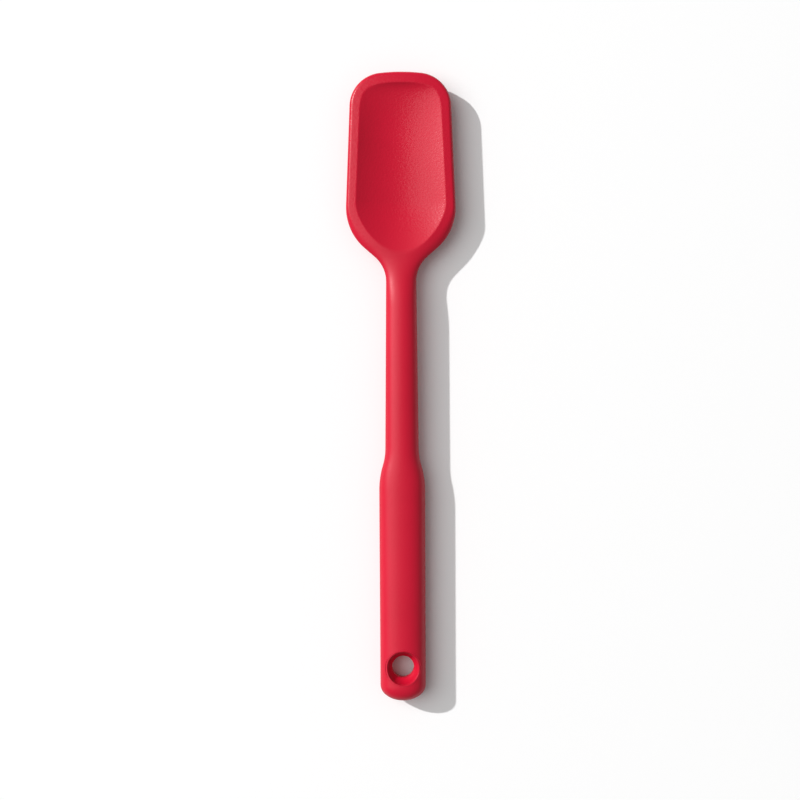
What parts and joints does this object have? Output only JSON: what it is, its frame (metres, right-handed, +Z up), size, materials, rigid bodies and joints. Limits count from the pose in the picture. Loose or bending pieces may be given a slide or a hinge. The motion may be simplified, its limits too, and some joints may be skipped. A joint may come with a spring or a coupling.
{
  "type": "silicone spoon spatula",
  "caption": "Seamless silicone spoon spatula with a shallow scoop head, slim shaft, rounded handle and a countersunk hanging hole over a stiff inner core.",
  "frame": {"origin": "under the middle of the tool, on the surface that it lies on", "axes": "+Y along the tool to the tip of the head, +Z up out of the bowl, +X across to the right"},
  "size_m": [0.0554, 0.318, 0.016],
  "materials": {
    "silicone": "satin red silicone",
    "nylon": "moulded black glass-filled nylon"
  },
  "bodies": {
    "root": {"silicone_skin": "silicone", "nylon_core": "nylon"}
  },
  "joints": []
}
